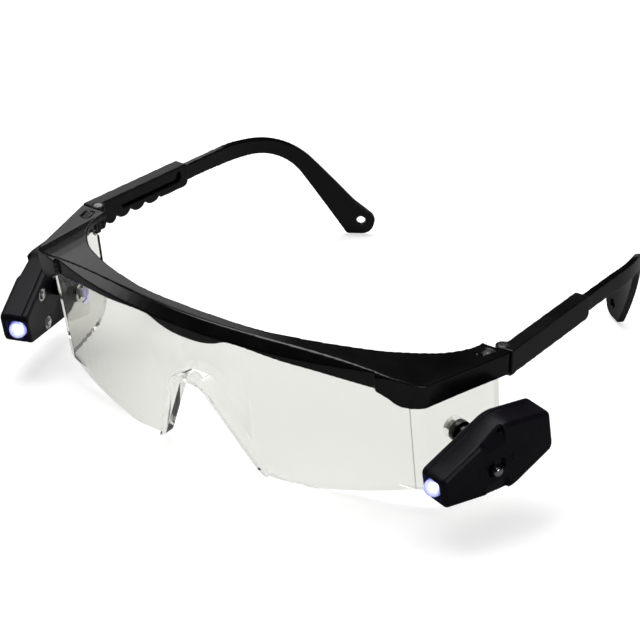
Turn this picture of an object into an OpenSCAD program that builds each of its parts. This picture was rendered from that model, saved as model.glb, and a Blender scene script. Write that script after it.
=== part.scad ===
// Safety glasses with a clear wrap-round lens, folding temples of adjustable length
// and a small turning lamp at each side.
// X runs across the face, Y back towards the ears and Z up. The pieces are drawn
// with Y counted from the front face of the lens and Z from the top of the frame's
// side arms, and the whole is then set down on the lens's lower edge. Each
// right-hand piece is drawn once and mirrored for the left.

/* [Lens] */
// Thickness of the clear lens
lens_t = 2; // [1.6:0.1:2.2]
// Radius of the lens's bow across the face
lens_bow_r = 138; // [120:1:200]
// Angle by which the lens leans back towards the cheeks
lens_tilt = 11.3; // [8:0.1:14]
// Half width of the lens where its side shields start
lens_half_w = 61.2; // [58:0.2:66]
// Distance from the front of the lens back to that place
shield_start = 12.7; // [11:0.1:15]
// Outside radius of the corner between the front and a side shield
lens_corner_r = 4; // [3.6:0.1:6]
// Angle between a side shield and straight back
shield_splay = 15.4; // [12:0.1:18]
// Depth of the lens below the side arms' top, at its lowest edge
lens_depth = 41.3; // [40:0.1:43]
// Depth of the lower edge at the corners
lens_corner_depth = 36.1; // [34:0.1:38]
// Depth of the side shield's lower edge at its back end
shield_back_depth = 33.5; // [31:0.1:35]
// How far the side shield's back edge stands behind the side arm's end, low down
shield_overhang = 3.2; // [1:0.1:4]
// Radius of the side shield's low back corner
shield_corner_r = 8; // [4:0.5:10]

/* [Nose arch] */
// Depth of the arch's crown below the side arms' top
nose_top = 13.6; // [11:0.1:17]
// Half width of the arch at its crown
nose_half_w = 4.1; // [3.6:0.1:6]
// Angle of the arch's sides to the upright
nose_splay = 24.3; // [20:0.1:27]
// Radius of the crown's corners
nose_crown_r = 3.4; // [2:0.1:3.6]
// Radius where the arch runs into the lower edge
nose_foot_r = 5.5; // [3:0.5:7]
// Thickness of the rim round the arch
nose_rim_t = 1.6; // [1.2:0.1:2]
// How far the rim stands in front of the lens at the crown
nose_rim_out = 4.9; // [3:0.1:5]
// Angle of the rim's front edges to the upright
nose_rim_tilt = 20.8; // [18:0.1:23]

/* [Frame] */
// Rise of the brow above the side arms' top
brow_rise = 5.6; // [3:0.1:7]
// Half width over which the brow rises
brow_half_w = 64; // [60:0.5:68]
// Exponent of the brow curve, higher for a flatter middle
brow_flatness = 3.5; // [2.5:0.1:5]
// Thickness of the frame's top shelf
shelf_t = 1.8; // [1.4:0.1:2.2]
// How far the front band stands in front of the lens
band_out = 2; // [1.6:0.1:2.6]
// How far a side arm's outer face stands off the lens
arm_out = 3.05; // [2.8:0.05:3.6]
// Outside radius of the frame's corner
frame_corner_r = 4.8; // [4:0.1:7]
// Place across the frame where the front band meets the thicker corner
corner_start = 53; // [51:0.5:54]
// Height of a side arm
side_arm_h = 6.8; // [6.2:0.1:7.4]
// Distance from the front of the lens back to a side arm's end
frame_end = 41.3; // [40:0.1:43]
// Distance from the front of the lens back to the brow's top front edge
bevel_set_back = 0.2; // [0:0.1:0.6]
// Bow radius of the brow's sloping front bevel
bevel_r = 187; // [180:1:200]
// Gap between the lens and the frame round it
lens_gap = 0.15; // [0.1:0.05:0.2]
// Thickness of the rib behind the lens's top edge
rib_t = 1.2; // [0.8:0.1:1.4]
// Height of that rib
rib_h = 2; // [1:0.1:3]
// Half length of that rib
rib_half_l = 46; // [36:1:48]
// Length of the lens tab that stands in the shelf's slot
tab_l = 3.9; // [3:0.1:5]

/* [Hinge] */
// Radius of the hinge pin
pin_r = 0.8; // [0.6:0.05:0.9]
// Radius of the hinge pin's head
pin_head_r = 1.3; // [1.1:0.05:1.4]
// Height of the hinge pin's head
pin_head_h = 0.4; // [0.3:0.05:0.6]
// Radius of the hinge knuckles
knuckle_r = 2; // [1.8:0.05:2.1]
// Distance from the frame's outer face in to the hinge pin's axis
pin_inset = 3.8; // [3.6:0.05:4]
// Depth of the frame's middle knuckle below the top
lug_depth = 2.3; // [2.1:0.1:2.6]
// Height of the frame's middle knuckle
lug_h = 2.4; // [2:0.1:2.6]
// Radial clearance of the pin in the moving knuckles
pin_fit = 0.05; // [0.03:0.01:0.08]
// Gap between a moving knuckle and a fixed one
knuckle_gap = 0.15; // [0.1:0.05:0.2]
// Gap between the frame's end and the temple
end_gap = 0.4; // [0.35:0.05:0.6]

/* [Temple] */
// Angle by which a temple runs inwards
temple_toe = 2.4; // [1:0.05:4]
// Angle by which a temple drops towards the ear
temple_drop = 1.8; // [1.2:0.1:2.4]
// Width of the sleeve
sleeve_w = 4; // [3.8:0.1:4.6]
// Height of the sleeve
sleeve_h = 7; // [6.8:0.1:7.6]
// Length of the sleeve behind the hinge pin
sleeve_l = 38.6; // [36:0.2:42]
// Thickness of the sleeve's top wall
sleeve_top_t = 1; // [0.8:0.05:1.1]
// Thickness of the sleeve's inner and outer walls
sleeve_wall = 0.85; // [0.7:0.05:1]
// Running gap between the arm and the sleeve's walls
arm_fit = 0.15; // [0.1:0.05:0.2]
// Height of the arm
arm_h = 4.9; // [4.6:0.1:5]
// How far the arm's front end stands behind the hinge pin
arm_start = 4; // [3.6:0.1:6]
// Distance from the hinge pin back to the arm's inward bend
bend_start = 57.3; // [52:0.1:60]
// Radius of the arm's inward bend
bend_r = 50; // [48:1:56]
// Radius of the arm's downward bend on its lower edge
drop_r = 22; // [18:1:24]
// Radius of that bend on its upper edge
drop_top_r = 33; // [26:1:36]
// Width of the tip's lower end
tip_foot_w = 7.25; // [6.5:0.05:7.8]
// Height of the tip's rear corner above its lower end
tip_h = 5.75; // [5.5:0.05:6.5]
// Radius of that corner
tip_r = 2.5; // [1.5:0.1:2.6]
// Height of the tips above the lens's lower edge
tip_lift = 0.6; // [0:0.1:1]
// Radius of the cord hole at the tip
cord_hole_r = 1.4; // [1:0.05:1.6]
// Height of the cord hole above the tip's lower end
cord_hole_rise = 4.4; // [4:0.1:5]
// Distance from the tip's rear edge in to the cord hole
cord_hole_in = 4.4; // [4:0.1:5]

/* [Lamp] */
// Distance from the lens front along a side shield to the lamp's pivot
pivot_back = 24.4; // [22:0.1:25]
// Distance down the lens from the side arms' top to the lamp's pivot
pivot_down = 24.8; // [23:0.1:26]
// Distance from the side shield out to the lamp's inner face
spacer_l = 6.9; // [5.5:0.1:9]
// Radius of the pivot knob's disc on the side shield
knob_r = 3.1; // [2.8:0.1:4]
// Thickness of that disc
disc_t = 2.4; // [1:0.1:4]
// Radius of the knob's stem between the disc and the lamp
stem_r = 2.3; // [2.1:0.1:2.8]
// Radius of the knob's neck in the lamp's inner shell
neck_r = 2; // [1.8:0.05:2.2]
// Radial clearance of the neck, and its end play
neck_fit = 0.05; // [0.03:0.01:0.08]
// Radius of the knob's snap head inside the lamp
snap_r = 2.5; // [2.3:0.05:2.7]
// Distance from the lamp's widest place forward to the pivot
pivot_ahead = 3.6; // [3:0.1:5]
// Distance from the lamp's centre line up to the pivot
pivot_up = 2.5; // [1:0.1:3]
// Length of the lamp ahead of its widest place
lamp_nose_l = 21.65; // [20:0.05:23]
// Length of the lamp behind its widest place
lamp_tail_l = 15.2; // [14.6:0.1:16]
// Half height of the lamp's nose
lamp_nose_h = 4.3; // [4.2:0.05:4.8]
// Half height of the lamp at its widest, before the corner is rounded
lamp_wide_h = 10.85; // [10.6:0.05:11.4]
// Half height of the lamp's tail
lamp_tail_h = 6.1; // [5.8:0.1:6.8]
// Thickness of the whole lamp case
lamp_t = 8.9; // [8.7:0.1:9.6]
// Thickness of the case's inner shell
shell_t = 2; // [1.8:0.1:2.2]
// Wall of the lamp case
case_wall = 1.2; // [1:0.05:1.3]
// Bevel round the outer cover's face
case_bevel = 0.9; // [0.4:0.1:1.1]
// Distance of a finger scoop's inner end from the lamp's centre line
scoop_off = 5.2; // [4.8:0.1:6.5]
// Angle at which a finger scoop slopes into the cover
scoop_slope = 19; // [12:1:20]
// Distance from the lamp's widest place forward to the case screws
case_screw_ahead = 10.7; // [10.4:0.1:11.2]
// Distance of a case screw from the lamp's centre line
case_screw_off = 5; // [4.9:0.05:5.2]
// Radius of a case screw's shank
case_screw_r = 0.7; // [0.5:0.05:0.8]
// Radius of a case screw's head
case_head_r = 1.9; // [1.7:0.05:2]

/* [Lamp parts] */
// Radius of the light-emitting diode
led_r = 2.5; // [2.3:0.05:2.6]
// Distance from the lamp's inner face to the diode's axis
led_in = 3.8; // [3.7:0.05:4]
// How far the diode's dome centre stands inside the nose
led_set_back = 0.65; // [0.3:0.05:1]
// Length of the diode from its base to the dome's centre
led_l = 6.1; // [5.8:0.1:6.3]
// Thickness of the circuit board
board_t = 1.4; // [1:0.1:1.5]
// Diameter of a button cell
cell_d = 12.5; // [12:0.1:12.6]
// Thickness of a button cell
cell_t = 2; // [1.6:0.1:2]
// Thickness of a contact strip
strip_t = 0.4; // [0.3:0.05:0.4]
// Radius of the switch lever's tip
lever_r = 1.5; // [1.2:0.1:1.7]
// How far the switch lever stands out of the case
lever_out = 2.3; // [1.5:0.1:3]
// Travel of the switch lever
lever_travel = 1.8; // [1:0.1:2]

/* [Pivot fastening] */
// Radius of the pivot washer on the lens's inner face
washer_r = 3; // [2.4:0.1:3.8]
// Thickness of the pivot washer
washer_t = 0.8; // [0.5:0.1:1.2]
// Radius of the pivot screw's shank
pivot_screw_r = 0.9; // [0.7:0.05:1]
// Radius of the pivot screw's head
pivot_head_r = 1.5; // [1.4:0.05:1.8]

/* [Hidden] */
$fn = 64;
bow_fn = 720;
far = 200;
// A corner's rounding stands this much proud, so that it crosses the faces it joins.
corner_proud = 0.01;
screw_gap = 0.05;
recess_gap = 0.1;
black = "#1c1c1e";
silver = "#c9cacc";
copper = "#c9a063";
board_green = "#1f6b45";
lens_clear = [0.9, 0.92, 0.9, 0.35];
lamp_white = [0.9, 0.93, 1, 0.9];

// The side shield's line in the lens's own tilted section.
splay_k = tan(shield_splay);
function shield_x(v, out = 0) = lens_half_w + splay_k * (v - shield_start) + out / cos(shield_splay);
// Depth in the tilted section of a point of the upright frame.
function section_v(y, z) = y * cos(lens_tilt) + z * sin(lens_tilt);

// Centre of a corner's rounding that lies q inside both the bow and the shield's line.
corner_side_dir = [cos(shield_splay), -sin(shield_splay)];
function corner_at(q) =
    let (
        x0 = shield_x(0, -q),
        a = 1 + pow(splay_k, 2),
        b = 2 * (x0 * splay_k - lens_bow_r),
        c = pow(x0, 2) + pow(lens_bow_r, 2) - pow(lens_bow_r - q, 2),
        v = (-b - sqrt(pow(b, 2) - 4 * a * c)) / (2 * a)
    )
    [x0 + splay_k * v, v];

// The hinge stands behind the side arm's end, in from its outer face.
hinge_y = frame_end + end_gap + knuckle_r - 0.2;
hinge_x = shield_x(section_v(frame_end, 0), arm_out) - pin_inset;
block_y = frame_end - 1.9;
shield_cut_y = block_y - 0.2;
shield_cut_z = side_arm_h + 0.6;

// The sleeve's hollow, and the arm in it.
arm_t = sleeve_w - 2 * (sleeve_wall + arm_fit);
arm_top = sleeve_top_t + arm_fit;
arm_x = sleeve_wall + arm_fit;
hollow_h = arm_h + 2 * arm_fit;
lobe_pitch = 6.15;
lobe_rise = 1.5;
lobe_ends = [-1.8, 3.8, 7.9, 7.9 + lobe_pitch, 7.9 + 2 * lobe_pitch, 7.9 + 3 * lobe_pitch];
lobe_depths = [sleeve_h + 1.4, sleeve_h + 0.8, sleeve_h + 0.4, sleeve_h + 0.4, sleeve_h + 0.4];
lobe_rs = [2.4, 1.9, 2.6, 2.6, 2.6];

// The arm's side outline is drawn on a plane turned by this much, which faces its
// tip more squarely. There a place along the arm lies at arm_s, from the bend's centre.
view_turn = 45;
function arm_s(y) = (y - bend_start) * cos(view_turn) - bend_r * sin(view_turn);
heel_s = 12.2;
hole_s = heel_s - cord_hole_in;
hole_turn = view_turn + asin(hole_s / bend_r);
hole_y = bend_start + bend_r * sin(hole_turn);
// The tip's lower end stands a little above the level of the lens's lower edge.
tip_z = (hole_y * sin(temple_drop) - lens_depth + tip_lift) / cos(temple_drop);
tip_corner_z = tip_z + tip_h;
hole_z = tip_z + cord_hole_rise;

// Front and back of the whole part, whose middle stands over the origin. The front is
// the nose rim's crown or the brow, and the back the outer face of a tip's rear corner.
crown_y = nose_top * tan(lens_tilt) - nose_rim_out;
band_z = (brow_rise - bevel_set_back - band_out / cos(lens_tilt)) / (1 + tan(lens_tilt));
front_y = min(crown_y - nose_rim_t * tan(nose_rim_tilt), bevel_set_back + band_z - brow_rise);
bend_out_r = bend_r + arm_t / 2;
heel_turn = view_turn + asin((heel_s - 0.2) / bend_out_r);
heel_x = arm_x + arm_t - bend_out_r * (1 - cos(heel_turn));
heel_flat_y = bend_start + bend_out_r * sin(heel_turn);
heel_y = heel_flat_y * cos(temple_drop) + (tip_corner_z - 1) * sin(temple_drop);
back_y = hinge_y + heel_y * cos(temple_toe) + heel_x * sin(temple_toe);
middle_y = (front_y + back_y) / 2;

// Lamp sizes counted from its inner face and its widest place.
cover_top = lamp_t - 1.3;
board_in = led_in - board_t / 2;
board_top = led_in + board_t / 2;
board_front = -13.5;
board_back = -0.5;
board_half_w = 3;
led_front = -(lamp_nose_l - led_set_back);
led_base = led_front + led_l;
cell_at = 6.8;
cell_in = shell_t + strip_t;
cell_top = cell_in + 2 * cell_t + screw_gap;
snap_h = 1.1;
pocket_t = 0.8;
boss_r = 1.8;
lever_at = [-4.9, -1];
switch_x = [-8.2, 8];
switch_y = [-2.8, 3.6];
channel_d = 1.2;
mark_h = 0.15;

// Outlines with rounded corners, and smooth lines through a few points

// Unit vector from one point to another.
function toward(a, b) = ([b.x, b.y] - [a.x, a.y]) / norm([b.x, b.y] - [a.x, a.y]);
// The arc that rounds the corner b between a and c with the radius b[2], drawn
// after the corner is moved in by the distance inset.
function corner_arc(a, b, c, inset, steps) =
    let (
        u = toward(b, a),
        v = toward(b, c),
        half = acos(u * v) / 2,
        bis = (u + v) / norm(u + v),
        r = max(b[2] - inset, 0.05),
        at = [b.x, b.y] + bis * inset / sin(half),
        mid = at + bis * r / sin(half),
        from = at + u * r / tan(half) - mid,
        to = at + v * r / tan(half) - mid,
        a0 = atan2(from.y, from.x),
        a1 = atan2(to.y, to.x),
        turn = (a1 - a0 + 540) % 360 - 180
    )
    [for (i = [0:steps]) mid + r * [cos(a0 + turn * i / steps), sin(a0 + turn * i / steps)]];
// A closed outline whose corners are [x, y, radius].
function rounded(pts, inset = 0, steps = 8) =
    let (n = len(pts))
    [for (i = [0:n - 1])
        each corner_arc(pts[(i + n - 1) % n], pts[i], pts[(i + 1) % n], inset, steps)];
// A smooth open line through points, each span a cubic between its two neighbours.
function span_point(p, t) =
    0.5 * (2 * p[1] + t * (p[2] - p[0]) + t * t * (2 * p[0] - 5 * p[1] + 4 * p[2] - p[3])
        + t * t * t * (3 * p[1] - p[0] - 3 * p[2] + p[3]));
function smooth(pts, steps = 4) =
    let (n = len(pts))
    [for (i = [0:n - 2])
        let (p = [pts[max(i - 1, 0)], pts[i], pts[i + 1], pts[min(i + 2, n - 1)]])
        for (k = [0:steps - (i == n - 2 ? 0 : 1)]) span_point(p, k / steps)];
function reversed(pts) = [for (i = [len(pts) - 1:-1:0]) pts[i]];
function flipped(pts) = [for (p = reversed(pts)) [-p.x, p.y]];

// Placing

module placed() {
    translate([0, -middle_y, lens_depth]) children();
}
module on_left() {
    mirror([1, 0, 0]) children();
}
module both_sides() {
    children();
    on_left() children();
}
// An outline in X and Z carried along Y, and one in Y and Z carried along X.
module front_view(pts) {
    translate([0, far, 0]) rotate([90, 0, 0]) linear_extrude(2 * far) polygon(pts);
}
module side_view(pts, x0 = -far, x1 = far) {
    translate([x0, 0, 0]) rotate([90, 0, 90]) linear_extrude(x1 - x0) polygon(pts);
}
// A solid whose level cuts along the tilted axis are the lens section, moved in by d.
module lens_core(d, q = lens_corner_r) {
    rotate([lens_tilt, 0, 0]) translate([0, 0, -70]) linear_extrude(90) lens_section(d, q);
}
module at_hinge() {
    translate([hinge_x, hinge_y, 0]) rotate([0, 0, temple_toe]) children();
}
module along_temple() {
    rotate([-temple_drop, 0, 0]) children();
}
// X runs out from the side shield's face, Y back along it and Z up.
module at_pivot() {
    rotate([lens_tilt, 0, 0]) translate([shield_x(pivot_back), pivot_back, -pivot_down])
        rotate([0, 0, -shield_splay]) children();
}
// The same, with the origin on the lamp's inner face at its widest place.
module at_lamp() {
    at_pivot() translate([spacer_l, pivot_ahead, -pivot_up]) children();
}
// A round piece with its axis along X, from x0 to x1.
module rod_x(r, x0, x1) {
    translate([x0, 0, 0]) rotate([0, 90, 0]) cylinder(r = r, h = x1 - x0);
}

// Lens

// The area inside the lens's outer face, moved in by d, as seen down its tilted axis.
// Its corners are rounded about points that lie q inside that face.
module lens_section(d, q) {
    reach = q - d + 14;
    at = corner_at(q);
    bow_dir = (at - [0, lens_bow_r]) / norm(at - [0, lens_bow_r]);
    difference() {
        intersection() {
            translate([0, lens_bow_r]) circle(r = lens_bow_r - d, $fn = bow_fn);
            polygon([
                [-shield_x(-30, -d), -30], [shield_x(-30, -d), -30],
                [shield_x(80 + d, -d), 80 + d], [-shield_x(80 + d, -d), 80 + d]
            ]);
        }
        for (s = [1, -1])
            polygon([for (p = [
                at, at + bow_dir * reach, at + (bow_dir + corner_side_dir) * reach,
                at + corner_side_dir * reach
            ]) [s * p.x, p.y]]);
    }
    for (s = [1, -1]) translate([s * at.x, at.y]) circle(r = q - d + corner_proud);
}

function brow_top(x) = brow_rise * (1 - pow(min(abs(x) / brow_half_w, 1), brow_flatness));
// The brow's top line, lowered by some depth, from left to right.
function brow_line(lower) =
    [for (i = [-16:16]) [i * brow_half_w / 16, brow_top(i * brow_half_w / 16) - lower]];
// Everything below that line.
function below_brow(lower) =
    concat(brow_line(lower), [[far, -lower], [far, -far], [-far, -far], [-far, -lower]]);

nose_foot_x = nose_half_w + (lens_depth - nose_top) * tan(nose_splay);
nose_line = [
    [nose_foot_x, -lens_depth, nose_foot_r],
    [nose_half_w, -nose_top, nose_crown_r],
    [-nose_half_w, -nose_top, nose_crown_r],
    [-nose_foot_x, -lens_depth, nose_foot_r]
];
// The arch, closed far below the lens, for the outside of the rim.
rim_foot_x = nose_half_w + (70 - nose_top) * tan(nose_splay);
rim_crown_r = nose_crown_r + nose_rim_t;
nose_rim = [
    [rim_foot_x, -70, 2.6], [nose_half_w, -nose_top, rim_crown_r],
    [-nose_half_w, -nose_top, rim_crown_r], [-rim_foot_x, -70, 2.6]
];

module lens_front_outline() {
    lower = rounded(concat(
        [[80, -lens_corner_depth, 1], [59.5, -lens_corner_depth, 10], [34, -lens_depth, 60]],
        nose_line,
        [[-34, -lens_depth, 60], [-59.5, -lens_corner_depth, 10], [-80, -lens_corner_depth, 1],
        [-80, 30, 1], [80, 30, 1]]
    ));
    intersection() {
        front_view(lower);
        front_view(below_brow(shelf_t + lens_gap));
    }
}

module lens_side_outline() {
    back = frame_end + shield_overhang;
    slope = (lens_corner_depth - shield_back_depth) / 21;
    side_view(rounded([
        [-far, 20, 1], [shield_cut_y, 20, 0.1], [shield_cut_y, -shield_cut_z, 0.3],
        [frame_end + 0.1, -shield_cut_z, 1.5], [back, -shield_back_depth, shield_corner_r],
        [20, -lens_corner_depth + slope * 0.5, 1], [10, -lens_depth - 1, 1], [-far, -lens_depth - 1, 1]
    ]));
}

// The rim's front edges lie in a plane that leans back more than the lens does.
module rim_zone() {
    rake = tan(nose_rim_tilt);
    side_view([
        [crown_y - 10 * rake, 10 - nose_top], [30, 10 - nose_top], [30, -60],
        [crown_y + (60 - nose_top) * rake, -60]
    ]);
}

module nose_rim_solid() {
    intersection() {
        front_view(rounded(nose_rim, -nose_rim_t));
        rim_zone();
        difference() {
            translate([-30, -20, -lens_depth]) cube([60, 60, lens_depth - 2]);
            lens_core(lens_t);
        }
        lens_front_outline();
    }
}

module lens_strip() {
    difference() {
        lens_core(0);
        lens_core(lens_t);
    }
}

module tab_strip() {
    intersection() {
        lens_strip();
        both_sides() translate([50, shield_cut_y - tab_l, -6]) cube([40, tab_l, 5.8]);
    }
}

module lens_solid() {
    difference() {
        union() {
            intersection() {
                lens_strip();
                lens_front_outline();
                lens_side_outline();
            }
            tab_strip();
            nose_rim_solid();
        }
        both_sides() at_pivot() rod_x(pivot_screw_r + 0.2, -lens_t - 1, 1);
    }
}

// Frame

// Half of the shelf's back edge, from the middle to the side arm's end.
shelf_back = [
    [0, 3.7], [10, 3.9], [18, 4.6], [25, 6.3], [33, 9], [40, 12.2], [48, 17], [54, 22.5],
    [59, 28.5], [62, 34.5], [63.4, 39.5]
];
// Half of the front band's lower edge, and of the corner's.
band_low = [
    [0, -0.5], [4.5, -0.4], [9, 0.7], [11.8, 2], [14.5, 2.5], [20, 2.1], [28, 1], [37, 0.1],
    [45, -1.2], [52, -2.6]
];
corner_low = [[56, -5], [58, -6.8], [60.5, -7.4], [63.5, -7.2], [67, -side_arm_h]];

module frame_front_outline() {
    half = concat(smooth(band_low), smooth(concat([[corner_start, -2.9]], corner_low)));
    front_view(concat(
        half, [[far, -side_arm_h], [far, 0]], reversed(brow_line(0)),
        [[-far, 0], [-far, -side_arm_h]], flipped(half)
    ));
}

// The frame's outer mass: the front band, and the thicker corners and side arms.
module frame_mass() {
    lens_core(-band_out);
    intersection() {
        lens_core(-arm_out, frame_corner_r - arm_out);
        both_sides() translate([corner_start, -far, -far]) cube([far, 2 * far, 2 * far]);
    }
}

// The slope along the brow's top front edge is a wide cylinder laid back at half a
// right angle, which meets the front band lower down.
module brow_bevel() {
    rotate([-45, 0, 0])
        translate([0, (bevel_set_back - brow_rise) / sqrt(2) + bevel_r, 0])
            cylinder(r = bevel_r, h = 2 * far, center = true, $fn = bow_fn);
}

module head_space() {
    edge = smooth(shelf_back);
    end = edge[len(edge) - 1];
    translate([0, 0, -far]) linear_extrude(2 * far)
        polygon(concat(edge, [[end.x, far], [-end.x, far]], flipped(edge)));
}

module below_shelf() {
    intersection() {
        lens_core(-lens_gap);
        front_view(below_brow(shelf_t));
    }
}

module groove_rib() {
    intersection() {
        difference() {
            lens_core(lens_t + lens_gap);
            lens_core(lens_t + lens_gap + rib_t);
        }
        difference() {
            front_view(below_brow(shelf_t - 0.3));
            front_view(below_brow(shelf_t + rib_h));
        }
        translate([-rib_half_l, -10, -20]) cube([2 * rib_half_l, 40, 40]);
    }
}

module hinge_lug() {
    translate([hinge_x, hinge_y, -lug_depth - lug_h]) cylinder(r = knuckle_r, h = lug_h);
    translate([hinge_x - knuckle_r, frame_end - 0.5, -lug_depth - lug_h])
        cube([2 * knuckle_r, hinge_y - frame_end + 0.5, lug_h]);
}

module hinge_block() {
    intersection() {
        lens_core(-arm_out);
        translate([hinge_x - 3, block_y, -side_arm_h]) cube([20, frame_end - block_y, side_arm_h]);
    }
}

module frame_solid() {
    difference() {
        union() {
            difference() {
                intersection() {
                    frame_mass();
                    frame_front_outline();
                    brow_bevel();
                    translate([-far, -far, -far]) cube([2 * far, far + frame_end, 2 * far]);
                }
                below_shelf();
                head_space();
            }
            groove_rib();
            both_sides() {
                hinge_block();
                hinge_lug();
            }
        }
        // Slots for the lens tabs.
        intersection() {
            difference() {
                lens_core(-lens_gap);
                lens_core(lens_t + lens_gap);
            }
            both_sides()
                translate([50, shield_cut_y - tab_l - lens_gap, -shelf_t - 0.3])
                    cube([40, tab_l + 2 * lens_gap, shelf_t + 1]);
        }
        both_sides() translate([hinge_x, hinge_y, -20]) cylinder(r = pin_r + 0.02, h = 40);
    }
}

module hinge_pin() {
    translate([hinge_x, hinge_y, 0]) {
        translate([0, 0, -sleeve_h]) cylinder(r = pin_r, h = sleeve_h);
        translate([0, 0, -pin_head_h]) cylinder(r = pin_head_r, h = pin_head_h);
    }
}

// Temple

module sleeve_hollow() {
    translate([sleeve_wall, arm_start - 0.5, -sleeve_top_t - hollow_h])
        cube([arm_t + 2 * arm_fit, sleeve_l, hollow_h]);
}

module sleeve_shell() {
    lobe_w = sleeve_w - sleeve_wall - 0.2;
    lobes_end = lobe_ends[len(lobe_ends) - 1];
    difference() {
        union() {
            // The outer wall, and the body inside it whose front part is less high.
            side_view(rounded([
                [-1.8, 0, 0.2], [sleeve_l, 0, 1.6], [sleeve_l, -sleeve_h, 1.6],
                [-1.8, -sleeve_h, 0.2]
            ]), lobe_w, sleeve_w);
            side_view(rounded([
                [-1.8, 0, 0.2], [sleeve_l, 0, 1.6], [sleeve_l, -sleeve_h, 1.6],
                [lobes_end, -sleeve_h, 1], [lobes_end, lobe_rise - sleeve_h, 0.1],
                [-1.8, lobe_rise - sleeve_h, 0.1]
            ]), 0, lobe_w);
            // Round lobes along the lower inside edge.
            for (i = [0:len(lobe_depths) - 1])
                side_view(rounded([
                    [lobe_ends[i], 3.5 - sleeve_h, 0.1], [lobe_ends[i + 1], 3.5 - sleeve_h, 0.1],
                    [lobe_ends[i + 1], -lobe_depths[i], lobe_rs[i]],
                    [lobe_ends[i], -lobe_depths[i], lobe_rs[i]]
                ]), 0, lobe_w);
        }
        sleeve_hollow();
        // A long window in the inner wall shows the arm.
        side_view(rounded([
            [10, -1.5, 1.2], [sleeve_l - 3, -1.5, 1.2], [sleeve_l - 3, -4.6, 1.2], [10, -4.6, 1.2]
        ]), -1, sleeve_wall + 0.1);
    }
}

module sleeve_solid() {
    slot_z = -lug_depth - lug_h - knuckle_gap;
    slot_h = lug_h + 2 * knuckle_gap;
    at_hinge() difference() {
        union() {
            along_temple() sleeve_shell();
            translate([0, 0, -sleeve_h]) cylinder(r = knuckle_r, h = sleeve_h);
        }
        translate([0, 0, slot_z]) cylinder(r = knuckle_r + 0.2, h = slot_h);
        translate([-10, -10, slot_z]) cube([10 + knuckle_r + 0.2, 10, slot_h]);
        translate([-10, -10, slot_z]) cube([10, 10 + knuckle_r + 0.2, slot_h]);
        translate([0, 0, -20]) cylinder(r = pin_r + pin_fit, h = 40);
        translate([0, 0, -pin_head_h - 0.05]) cylinder(r = pin_head_r + pin_fit, h = 10);
    }
}

// The arm's outline, with its tip as a round paddle, carried along the turned view.
module arm_outline() {
    low_s = -17;
    low_z = -arm_top - arm_h - 1.4;
    translate([arm_x + arm_t / 2 - bend_r, bend_start, 0]) rotate([0, 0, view_turn])
        side_view(rounded([
            [arm_s(-20), -arm_top, 0.4], [arm_s(58), -arm_top - 0.1, 40],
            [-15.6, -arm_top - 2.5, drop_top_r], [heel_s - 6.7, tip_corner_z + 5.3, 15],
            [heel_s, tip_corner_z, tip_r], [heel_s - 1.4, tip_z, 3.8],
            [heel_s - 1.4 - tip_foot_w, tip_z, 1.6], [low_s, low_z, drop_r],
            [arm_s(50), -arm_top - arm_h, 120], [arm_s(-20), -arm_top - arm_h, 0.4]
        ], 0, 12), -30, 200);
}

// The arm seen from above: straight, then bent inwards.
module arm_strip() {
    centre_x = arm_x + arm_t / 2 - bend_r;
    translate([arm_x, arm_start, -60]) cube([arm_t, bend_start - arm_start, 70]);
    translate([centre_x, bend_start, -60]) difference() {
        cylinder(r = bend_r + arm_t / 2, h = 70, $fn = 180);
        translate([0, 0, -1]) cylinder(r = bend_r - arm_t / 2, h = 72, $fn = 180);
        translate([-100, -100, -1]) cube([200, 100, 72]);
        translate([-100, -1, -1]) cube([100, 200, 72]);
    }
}

module arm_solid() {
    centre_x = arm_x + arm_t / 2 - bend_r;
    at_hinge() along_temple() difference() {
        intersection() {
            arm_outline();
            arm_strip();
        }
        translate([centre_x, bend_start, hole_z]) rotate([0, 0, hole_turn])
            rod_x(cord_hole_r, bend_r - 4, bend_r + 4);
    }
}

// Lamp

function lamp_outline() = [
    [-lamp_nose_l, -lamp_nose_h, 2], [0, -lamp_wide_h, 9], [lamp_tail_l, -lamp_tail_h, 2.5],
    [lamp_tail_l, lamp_tail_h, 2.5], [0, lamp_wide_h, 9], [-lamp_nose_l, lamp_nose_h, 2]
];

// The lamp's outline, moved in by some distance, as a slab from x0 to x1.
module lamp_slab(inset, x0, x1) {
    side_view(rounded(lamp_outline(), inset), x0, x1);
}
module at_case_screws() {
    for (s = [1, -1]) translate([0, -case_screw_ahead, s * case_screw_off]) children();
}
module at_lamp_pivot() {
    translate([0, -pivot_ahead, pivot_up]) children();
}
// The room behind the nose, where the case is hollow.
module behind_nose() {
    translate([-5, led_base - 0.4, -20]) cube([30, 60, 40]);
}
// Seat of the diode: its body, its wider base, and the notch in the nose.
module led_seat() {
    translate([led_in, led_base, 0]) rotate([90, 0, 0]) {
        cylinder(r = led_r + screw_gap, h = 20);
        translate([0, 0, -1]) cylinder(r = led_r + 0.5, h = 2.2);
    }
    translate([led_in - led_r - 0.5, -lamp_nose_l - 1, -led_r - 0.5])
        cube([2 * led_r + 1, 1.8, 2 * led_r + 1]);
}

module inner_shell_solid() {
    at_lamp() difference() {
        union() {
            difference() {
                hull() {
                    lamp_slab(0.5, 0, 0.2);
                    lamp_slab(0, 0.5, shell_t);
                }
                intersection() {
                    lamp_slab(case_wall, shell_t - pocket_t, shell_t + 1);
                    behind_nose();
                }
            }
            at_case_screws() rod_x(boss_r, shell_t - pocket_t - 0.1, shell_t);
        }
        led_seat();
        at_lamp_pivot() rod_x(neck_r + neck_fit, -1, shell_t + 1);
        at_case_screws() {
            rod_x(case_head_r + recess_gap, -1, 0.9);
            rod_x(case_screw_r + 0.1, 0, shell_t + 1);
        }
    }
}

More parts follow.
